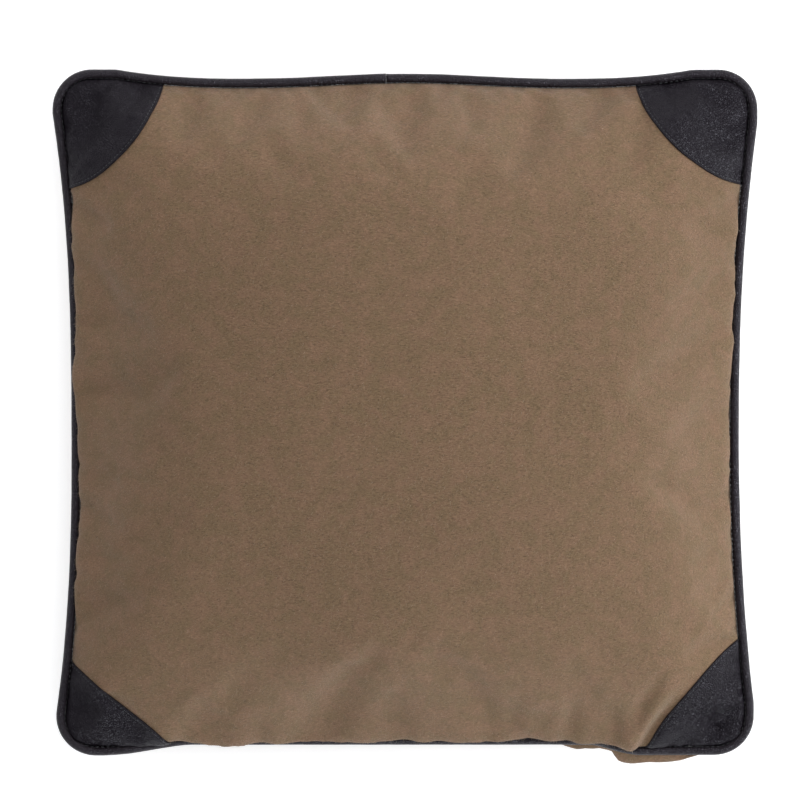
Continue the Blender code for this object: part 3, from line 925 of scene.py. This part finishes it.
def tubeFaces(index, flip):
    after = np.roll(index, -1, axis=1)
    corners = [index[:-1], after[:-1], after[1:], index[1:]]
    if flip:
        corners.reverse()
    return np.stack([corner.ravel() for corner in corners], axis=-1)


def makePiping():
    line, tangent, out, at = seamLine(piping["radius"] + piping["gap"], piping["stations"])
    sides = piping["sides"]
    angles = np.arange(sides) / sides * 2 * math.pi
    radii = np.full((piping["stations"], sides), piping["radius"])
    for i, distance in enumerate(at):
        # the strip lies over itself at the join, so one end is thicker
        fromEnd = at[-1] - distance
        step = 0.07 * math.exp(-((fromEnd / 0.011) ** 2)) - 0.03 * math.exp(-((distance / 0.008) ** 2))
        for j, angle in enumerate(angles):
            spot = Vector((distance * 230, math.cos(angle) * 1.4, math.sin(angle) * 1.4))
            wide = Vector((distance * 42, math.cos(angle) * 0.8, math.sin(angle) * 0.8 + 7))
            change = piping["wrinkle"] * (0.7 * noise.noise(spot) + 1.1 * noise.noise(wide))
            free = min(1.0, max(0.0, math.cos(angle) + 1.0))  # none of it where it meets the panels
            radii[i, j] *= 1 + (min(change, 0.03) - 0.02 + step) * free
    nearZip = (line[:, 0] > zipStart - 0.01) & (line[:, 0] < zipEnd + 0.01) & (line[:, 1] < 0)
    radii[nearZip] = np.minimum(radii[nearZip], piping["radius"])
    outer, _ = tubeRings(line, tangent, out, radii)
    inner, _ = tubeRings(line, tangent, out, np.full(radii.shape, piping["radius"] - piping["wall"]))
    index = np.arange(radii.size).reshape(radii.shape)
    below = index + radii.size
    faces = [tubeFaces(index, False), tubeFaces(below, True)]
    for station, flip in ((0, False), (-1, True)):
        ring, hole = index[station], below[station]
        cap = np.stack([ring, hole, np.roll(hole, -1), np.roll(ring, -1)], axis=-1)
        faces.append(cap[:, ::-1] if flip else cap)
    points = np.concatenate([outer.reshape(-1, 3), inner.reshape(-1, 3)])
    piece = newPiece("pipingLeather", points, np.concatenate(faces), pipingLeather)
    lengths = np.concatenate([np.repeat(at, sides)] * 2)
    turns = np.tile(np.sin(angles), piping["stations"] * 2) * piping["radius"]
    layer = piece.data.uv_layers.new(name="along")
    corner = np.zeros(len(piece.data.loops), int)
    piece.data.loops.foreach_get("vertex_index", corner)
    layer.data.foreach_set("uv", np.stack([lengths[corner], turns[corner]], axis=-1).ravel())
    onCover(piece, "leather", "piping_cover")

    sides = 12
    angles = np.arange(sides) / sides * 2 * math.pi
    plies = np.cos(3 * angles[None, :] - at[:, None] * 2 * math.pi / 0.014)
    line, tangent, out, at = seamLine(piping["radius"] + piping["gap"], piping["stations"])
    rings, _ = tubeRings(line, tangent, out, piping["cordRadius"] * (0.94 + 0.06 * plies))
    index = np.arange(plies.size).reshape(plies.shape)
    piece = newPiece("pipingCord", rings.reshape(-1, 3), tubeFaces(index, False), cordTwist)
    bm = bmesh.new()
    bm.from_mesh(piece.data)
    bmesh.ops.holes_fill(bm, edges=[edge for edge in bm.edges if edge.is_boundary])
    bmesh.ops.recalc_face_normals(bm, faces=bm.faces)
    bm.to_mesh(piece.data)
    bm.free()
    piece.data.shade_smooth()
    onCover(piece, "cord", "piping_cord")


makePiping()

print("stuffing the insert")
insert = {"setback": 0.0065, "zipSetback": 0.0140, "below": 0.0026, "casing": 0.0005, "cells": 60}


def insertGrid(cover, normals, side, extra):
    line = np.linspace(0, 1, insert["cells"] + 1)
    s, t = np.meshgrid(line, line, indexing="ij")
    place, normal = sampled(cover, s, t), sampled(normals, s, t)
    normal /= np.linalg.norm(normal, axis=-1, keepdims=True)
    cloth = sampled(np.stack([edgeLeft, edgeRight, edgeBottom], axis=-1), s, t)
    top = sampled(edgeTop[..., None], s, t)[..., 0]
    nearest = np.minimum(np.minimum(cloth[..., 0], cloth[..., 1]), np.minimum(cloth[..., 2], top))
    setback = insert["setback"] + (insert["zipSetback"] - insert["setback"]) * np.exp(-cloth[..., 2] / 0.02)
    depth = insert["below"] + (setback - insert["below"]) * np.exp(-nearest / 0.012) + extra
    inset = place - normal * depth[..., None]
    # near the seam it keeps to the seam's own line, set back from it
    square = np.clip(sampled(squareFine, s, t), -1, 1)
    rim = np.stack(planPoints(square[..., 0], square[..., 1], setback + extra), axis=-1)
    share = np.exp(-((nearest / 0.010) ** 2))[..., None]
    inset[..., :2] += (rim - inset[..., :2]) * share
    gap = pillow["seamGap"] / 2
    if side > 0:
        inset[..., 2] = np.maximum(inset[..., 2], seamZ + gap)
    else:
        inset[..., 2] = np.minimum(inset[..., 2], seamZ - gap)
    for edge in (np.s_[0, :], np.s_[-1, :], np.s_[:, 0], np.s_[:, -1]):
        inset[edge][..., 2] = seamZ + side * gap
    return inset


def makeInsert():
    for name, cover, normals, side in (
        ("casingFront", front, frontNormals, 1),
        ("casingBack", back, backNormals, -1),
    ):
        outer = insertGrid(cover, normals, side, 0.0)
        inner = insertGrid(cover, normals, side, insert["casing"])
        piece = closedSheet(name, outer, inner, ticking, side)
        onCover(piece, "ticking", "insert_casing_front" if side > 0 else "insert_casing_back")
    top = insertGrid(front, frontNormals, 1, 0.0020)
    bottom = insertGrid(back, backNormals, -1, 0.0020)
    piece = closedSheet("polyesterFilling", top, bottom, fluff, 1)
    onCover(piece, "filling", "insert_filling")


makeInsert()


# node groups that set small pieces in rows and lay fibres on cloth
def newGroup(name, inputs):
    group = bpy.data.node_groups.new(name, "GeometryNodeTree")
    group.interface.new_socket(name="Geometry", in_out="INPUT", socket_type="NodeSocketGeometry")
    group.interface.new_socket(name="Geometry", in_out="OUTPUT", socket_type="NodeSocketGeometry")
    for socketName, kind in inputs:
        group.interface.new_socket(name=socketName, in_out="INPUT", socket_type="NodeSocket" + kind)
    source = group.nodes.new("NodeGroupInput").outputs
    target = group.nodes.new("NodeGroupOutput").inputs
    return group, source, target


def finishGroup(group, source, target, instances):
    real = addNode(group, "GeometryNodeRealizeInstances", {"Geometry": instances}).outputs[0]
    painted = addNode(group, "GeometryNodeSetMaterial", {"Geometry": real, "Material": source["Material"]})
    group.links.new(painted.outputs[0], target["Geometry"])


def randomSize(group, source):
    low = mathOf(group, "SUBTRACT", 1.0, source["Size Change"])
    high = mathOf(group, "ADD", 1.0, source["Size Change"])
    values = {"Min_001": low, "Max_001": high, "Seed": source["Seed"]}
    node = group.nodes.new("FunctionNodeRandomValue")
    for socket in node.inputs:
        if socket.identifier in values:
            group.links.new(values[socket.identifier], socket)
    return next(item for item in node.outputs if item.identifier == "Value_001")


def randomVector(group, reach, seed):
    node = group.nodes.new("FunctionNodeRandomValue")
    node.data_type = "FLOAT_VECTOR"
    group.links.new(seed, node.inputs["Seed"])
    node.inputs[0].default_value = (-1, -1, -1)
    node.inputs[1].default_value = (1, 1, 1)
    return addNode(
        group, "ShaderNodeVectorMath", {0: node.outputs[0], "Scale": reach}, operation="SCALE"
    ).outputs[0]


def makeRowGroup():
    group, source, target = newGroup(
        "piecesInRow",
        (("Piece", "Object"), ("Pitch", "Float"), ("Size Change", "Float"), ("Turn Change", "Float"),
         ("Seed", "Int"), ("Material", "Material")),
    )
    curve = addNode(group, "GeometryNodeMeshToCurve", {"Mesh": source["Geometry"]}).outputs[0]
    spaced = addNode(
        group, "GeometryNodeResampleCurve", {"Curve": curve, "Length": source["Pitch"]}, mode="LENGTH"
    ).outputs[0]
    tangent = addNode(group, "GeometryNodeInputTangent").outputs[0]
    upwards = addNode(
        group, "GeometryNodeInputNamedAttribute", {"Name": "upwards"}, data_type="FLOAT_VECTOR"
    ).outputs["Attribute"]
    turn = addNode(group, "FunctionNodeAlignRotationToVector", {"Vector": tangent}, axis="X").outputs[0]
    turn = addNode(
        group,
        "FunctionNodeAlignRotationToVector",
        {"Rotation": turn, "Vector": upwards},
        axis="Z",
        pivot_axis="X",
    ).outputs[0]
    jitter = randomVector(group, source["Turn Change"], source["Seed"])
    euler = addNode(group, "FunctionNodeEulerToRotation", {0: jitter}).outputs[0]
    turn = addNode(
        group,
        "FunctionNodeRotateRotation",
        {"Rotation": turn, "Rotate By": euler},
        rotation_space="LOCAL",
    ).outputs[0]
    piece = addNode(group, "GeometryNodeObjectInfo", {"Object": source["Piece"]}).outputs["Geometry"]
    values = {"Points": spaced, "Instance": piece, "Rotation": turn, "Scale": randomSize(group, source)}
    rows = addNode(group, "GeometryNodeInstanceOnPoints", values).outputs[0]
    finishGroup(group, source, target, rows)
    return group


def makeNapGroup():
    group, source, target = newGroup(
        "fibresOnCloth",
        (("Piece", "Object"), ("Density", "Float"), ("Lean", "Vector"), ("Spread", "Float"),
         ("Size Change", "Float"), ("Seed", "Int"), ("Material", "Material")),
    )
    bare = addNode(group, "GeometryNodeInputNamedAttribute", {"Name": "nap"}).outputs["Attribute"]
    density = mathOf(group, "MULTIPLY", source["Density"], bare)
    spread = addNode(
        group,
        "GeometryNodeDistributePointsOnFaces",
        {"Mesh": source["Geometry"], "Density": density, "Seed": source["Seed"]},
    )
    jitter = randomVector(group, source["Spread"], source["Seed"])
    lean = summed(group, source["Lean"], jitter)
    way = summed(group, spread.outputs["Normal"], lean)
    turn = addNode(group, "FunctionNodeAlignRotationToVector", {"Vector": way}, axis="Z").outputs[0]
    piece = addNode(group, "GeometryNodeObjectInfo", {"Object": source["Piece"]}).outputs["Geometry"]
    values = {
        "Points": spread.outputs["Points"],
        "Instance": piece,
        "Rotation": turn,
        "Scale": randomSize(group, source),
    }
    rows = addNode(group, "GeometryNodeInstanceOnPoints", values).outputs[0]
    finishGroup(group, source, target, rows)
    return group


rowGroup, napGroup = makeRowGroup(), makeNapGroup()


def grown(name, guide, group, values):
    # runs a node group on a guide and keeps the result as a plain mesh
    modifier = guide.modifiers.new("grow", "NODES")
    modifier.node_group = group
    for item in group.interface.items_tree:
        if item.name in values:
            modifier[item.identifier] = values[item.name]
    graph = bpy.context.evaluated_depsgraph_get()
    mesh = bpy.data.meshes.new_from_object(guide.evaluated_get(graph))
    mesh.name = name
    guide.modifiers.remove(modifier)
    return placed(name, mesh)


def guideLines(name, lines):
    # each line is points with the direction that is up on the cloth there
    points = np.concatenate([place for place, _, _ in lines])
    upwards = np.concatenate([up for _, up, _ in lines])
    edges, start = [], 0
    for place, _, closed in lines:
        count = len(place)
        edges += [(start + i, start + i + 1) for i in range(count - 1)]
        if closed:
            edges.append((start + count - 1, start))
        start += count
    mesh = bpy.data.meshes.new(name)
    mesh.from_pydata(points.tolist(), edges, [])
    layer = mesh.attributes.new("upwards", "FLOAT_VECTOR", "POINT")
    layer.data.foreach_set("vector", upwards.ravel())
    return placed(name, mesh)


def seedPiece(name, bm):
    mesh = bpy.data.meshes.new(name)
    bm.to_mesh(mesh)
    bm.free()
    mesh.shade_smooth()
    return placed(name, mesh)


def discard(*items):
    for item in items:
        mesh = item.data
        bpy.data.objects.remove(item)
        bpy.data.meshes.remove(mesh)


stitch = {
    "thread": 0.00042,  # thickness of the thread
    "length": 0.0019,
    "patchPitch": 0.0026,
    "patchInset": 0.0017,
    "seamPitch": 0.0035,
    "zipPitch": 0.0030,
    "sunk": 0.00022,  # how deep a patch's stitches sit in the leather
    "seamOut": 0.00025,
    "seamUp": 0.0011,
    "zipUp": 0.0013,  # the zip's row over the lower tape's edge
}


def stitchPiece(name, length, thread):
    # one stitch along X, its ends sinking into the cloth
    bm = bmesh.new()
    sides, rings = 5, 5
    loops = []
    for ring in range(rings):
        share = ring / (rings - 1) * 2 - 1
        radius = thread / 2 * (0.55 + 0.45 * math.cos(share * math.pi / 2))
        drop = -thread * 0.9 * share**4
        loop = []
        for side in range(sides):
            angle = side / sides * 2 * math.pi
            y, z = radius * math.cos(angle), radius * math.sin(angle) + drop
            loop.append(bm.verts.new((share * length / 2, y, z)))
        loops.append(loop)
    for first, second in zip(loops, loops[1:]):
        for side in range(sides):
            after = (side + 1) % sides
            bm.faces.new((first[side], first[after], second[after], second[side]))
    bm.faces.new(loops[0])
    bm.faces.new(loops[-1])
    bmesh.ops.recalc_face_normals(bm, faces=bm.faces)
    return seedPiece(name, bm)


def patchStitchLine(corner):
    angle = np.linspace(0.05, math.pi / 2 - 0.05, 160)
    distance = patchRadius(corner, angle) - stitch["patchInset"]
    place, normal = onCloth(corner, distance * np.cos(angle), distance * np.sin(angle))
    lift = patch["gap"] + patch["thickness"] - stitch["sunk"]
    return place + normal * lift, normal, False


def seamStitchLine(side, skipZip):
    # in the crease between a panel and the piping
    line, _, outward, _ = seamLine(0.0, 900)
    place = line + outward * stitch["seamOut"] + np.array([0, 0, side * stitch["seamUp"]])
    normal = outward * 0.75 + np.array([0, 0, side * 0.66])
    if not skipZip:
        return [(place, normal, False)]
    clear = (line[:, 1] > -0.15) | (line[:, 0] < zipStart - 0.012) | (line[:, 0] > zipEnd + 0.012)
    breaks = np.nonzero(np.diff(clear.astype(int)))[0]
    runs, start = [], 0
    for end in [*breaks, len(clear) - 1]:
        if clear[start + 1]:
            runs.append((place[start + 1 : end], normal[start + 1 : end], False))
        start = end
    return runs


def zipStitchLine():
    # the row that holds the lower tape to the back
    rowZ = float(lowerTapeLow[2]) + stitch["zipUp"]
    places = []
    for x in np.linspace(zipStart + 0.004, zipEnd - 0.004, 120):
        column = int(np.argmin(np.abs(back[:, 3, 0] - x)))
        strip = back[column, : back.shape[1] // 4]
        order = np.argsort(strip[:, 2])
        y = np.interp(rowZ, strip[order, 2], strip[order, 1])
        places.append((x, y - 0.00005, rowZ))
    return np.array(places), np.tile([0.0, -1.0, 0.0], (len(places), 1)), False


def inRow(name, lines, piece, pitch, sizeChange, turnChange, seed, material):
    guide = guideLines(name + "Lines", lines)
    values = {
        "Piece": piece,
        "Pitch": pitch,
        "Size Change": sizeChange,
        "Turn Change": turnChange,
        "Seed": seed,
        "Material": material,
    }
    row = grown(name, guide, rowGroup, values)
    discard(guide)
    return row


print("stitching")
one = stitchPiece("oneStitch", stitch["length"], stitch["thread"])
lines = [patchStitchLine(corner) for corner in corners.values()]
patchStitches = inRow("patchStitches", lines, one, stitch["patchPitch"], 0.10, 0.07, 4, darkThread)
onCover(patchStitches, "leather")
lines = seamStitchLine(1, False) + seamStitchLine(-1, True)
seamStitches = inRow("seamStitches", lines, one, stitch["seamPitch"], 0.12, 0.10, 9, darkThread)
onCover(seamStitches, "wool")
zipStitches = inRow("zipStitches", [zipStitchLine()], one, stitch["zipPitch"], 0.08, 0.05, 2, brownThread)
onCover(zipStitches, "wool")
discard(one)

print("raising the nap")
nap = {"length": 0.0021, "width": 0.00011, "density": 135000.0, "lean": (-0.9, -1.3, 0.0)}


def napPiece():
    bm = bmesh.new()
    base = [
        bm.verts.new((nap["width"] / 2 * math.cos(a), nap["width"] / 2 * math.sin(a), 0))
        for a in (0, 2 * math.pi / 3, 4 * math.pi / 3)
    ]
    tip = bm.verts.new((nap["width"], 0, nap["length"]))
    bm.faces.new(base)
    for i in range(3):
        bm.faces.new((base[i], base[(i + 1) % 3], tip))
    bmesh.ops.recalc_face_normals(bm, faces=bm.faces)
    return seedPiece("oneFibre", bm)


def growNap(name, outer, side, bareAt, density, seed):
    index = np.arange(outer[..., 0].size).reshape(outer.shape[:2])
    guide = newPiece("napGuide", outer.reshape(-1, 3), gridFaces(index, side < 0))
    layer = guide.data.attributes.new("nap", "FLOAT", "POINT")
    layer.data.foreach_set("value", bareAt.ravel())
    fibre = napPiece()
    piece = grown(
        name,
        guide,
        napGroup,
        {"Piece": fibre, "Density": density, "Lean": nap["lean"], "Spread": 1.2,
         "Size Change": 0.35, "Seed": seed, "Material": napFibre},
    )
    onCover(piece, "wool")
    discard(guide, fibre)


bareFront = np.ones(fromSeams.shape)
for corner in corners.values():
    bareFront *= beyondPatch(corner)[0] > 0.0004
bareFront *= fromSeams > 0.004
bareBack = (back[..., 2] > 0.012) * (fromSeams > 0.004) * 1.0
zipZone = (back[..., 0] > zipStart - 0.02) & (back[..., 0] < zipEnd + 0.02) & (edgeBottom < 0.05)
bareBack *= ~zipZone
growNap("napFront", front, 1, bareFront, nap["density"], 21)
growNap("napBack", back, -1, bareBack, nap["density"] * 0.6, 22)

print("setting the zip")
coil = {"pitch": 0.0012, "radius": 0.00072, "wire": 0.00021}


def coilLoop():
    # one slanted turn of the wire; X runs along the zip
    bm = bmesh.new()
    turns, sides = 9, 4
    loops = []
    for i in range(turns):
        angle = i / turns * 2 * math.pi
        centre = Vector((coil["pitch"] * 0.25 * math.sin(angle), coil["radius"] * math.cos(angle) * 0.72,
                         coil["radius"] * math.sin(angle) * 0.72))
        outward = Vector((0, math.cos(angle), math.sin(angle)))
        loop = []
        for j in range(sides):
            turn = j / sides * 2 * math.pi
            way = outward * math.cos(turn) + Vector((1, 0, 0)) * math.sin(turn)
            loop.append(bm.verts.new(centre + way * coil["wire"]))
        loops.append(loop)
    for i in range(turns):
        first, second = loops[i], loops[(i + 1) % turns]
        for j in range(sides):
            after = (j + 1) % sides
            bm.faces.new((first[j], first[after], second[after], second[j]))
    bmesh.ops.recalc_face_normals(bm, faces=bm.faces)
    return seedPiece("coilLoop", bm)


loop = coilLoop()
for node in ("zip_coil_upper", "zip_coil_lower"):
    low, high = nodeBox(node)
    middle = (low + high) / 2
    ends = [[low[0] + 0.0005, middle[1], middle[2]], [high[0] - 0.0005, middle[1], middle[2]]]
    line = (np.array(ends), np.tile([0.0, 0.0, 1.0], (2, 1)), False)
    name = node.replace("zip_coil", "coil")
    onCover(inRow(name, [line], loop, coil["pitch"], 0.0, 0.0, 1, nylon), "nylon", node)
discard(loop)


def repaint(name, material):
    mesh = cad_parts[name].data
    mesh.materials.clear()
    mesh.materials.append(material)


for name in ("zip_tape_upper", "zip_tape_lower"):
    repaint(name, tapeWeave)
for name in ("zip_stop_left", "zip_stop_right"):
    repaint(name, bronze)


def softened(name, node, body, width):
    # the metal piece with its edges rounded
    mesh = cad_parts[node].data.copy()
    mesh.name = name
    bm = bmesh.new()
    bm.from_mesh(mesh)
    bmesh.ops.remove_doubles(bm, verts=bm.verts, dist=1e-6)
    bmesh.ops.dissolve_limit(bm, angle_limit=math.radians(1), verts=bm.verts, edges=bm.edges)
    inside = [edge for edge in bm.edges if len(edge.link_faces) == 2]
    sharp = [edge for edge in inside if edge.calc_face_angle(0) > math.radians(35)]
    bmesh.ops.bevel(
        bm, geom=sharp, offset=width, segments=2, affect="EDGES", clamp_overlap=True, profile=0.6
    )
    bm.to_mesh(mesh)
    bm.free()
    mesh.materials.clear()
    mesh.materials.append(bronze)
    mesh.shade_smooth()
    mesh.set_sharp_from_angle(angle=math.radians(50))
    piece = placed(name, mesh)
    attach(piece, body)
    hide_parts(node)


softened("sliderBody", "zip_slider", "slider", 0.00014)
softened("pullTab", "zip_pull", "pull", 0.00014)

print("laying out the floor, lights and camera")
stage = {
    "floorColour": (0.93, 0.93, 0.93),
    "skyColour": (0.93, 0.96, 1.0),
    "skyStrength": 0.52,
    "floorGlow": 0.36,
}
floorMaterial, floorShader, _ = newMaterial("floor", stage["floorColour"], 0.9)
floorShader.inputs["Specular IOR Level"].default_value = 0.1
floorShader.inputs["Emission Color"].default_value = (1, 1, 1, 1)
floorShader.inputs["Emission Strength"].default_value = stage["floorGlow"]
bpy.ops.mesh.primitive_plane_add(size=12, location=(0, 0, 0))
floor = bpy.context.object
floor.name = "floor"
floor.data.materials.append(floorMaterial)

world = bpy.data.worlds.new("sky")
world.use_nodes = True
world.node_tree.nodes["Background"].inputs["Color"].default_value = (*stage["skyColour"], 1)
world.node_tree.nodes["Background"].inputs["Strength"].default_value = stage["skyStrength"]
scene.world = world


def addLight(name, place, aim, size, power, colour):
    light = bpy.data.lights.new(name, "AREA")
    light.shape = "RECTANGLE"
    light.size, light.size_y = size
    light.energy = power
    light.color = colour
    lamp = bpy.data.objects.new(name, light)
    lamp.location = place
    lamp.rotation_euler = (Vector(aim) - Vector(place)).to_track_quat("-Z", "Y").to_euler()
    scene.collection.objects.link(lamp)
    return lamp


lamps = [
    addLight("windowRight", (1.8, 0.15, 0.60), (0, 0, 0.05), (0.6, 1.5), 37.0, (0.92, 0.97, 1.0)),
    addLight("windowBehind", (-0.5, 1.8, 0.70), (0, 0, 0.05), (1.6, 0.6), 13.0, (0.97, 0.98, 1.0)),
    addLight("windowFront", (0.1, -1.9, 0.12), (0, 0, 0.05), (1.6, 0.20), 17.0, (0.90, 0.97, 1.0)),
    addLight("overhead", (0.2, 0.2, 2.4), (0, 0, 0.05), (1.8, 1.8), 24.0, (1.0, 1.0, 1.0)),
]

camera = bpy.data.objects.new("camera", bpy.data.cameras.new("camera"))
scene.collection.objects.link(camera)
view = {"distance": 2.2, "tilt": math.radians(3.5), "aim": (-0.0033, 0.0095, seamZ), "width": 0.524}
aim = Vector(view["aim"])
towardsCamera = Vector((0, math.sin(view["tilt"]), math.cos(view["tilt"])))
camera.location = aim + towardsCamera * view["distance"]
camera.rotation_euler = (-view["tilt"], 0, 0)
camera.data.lens = camera.data.sensor_width * view["distance"] / view["width"]
camera.data.dof.use_dof = False
scene.camera = camera
scene.view_settings.view_transform = "Standard"
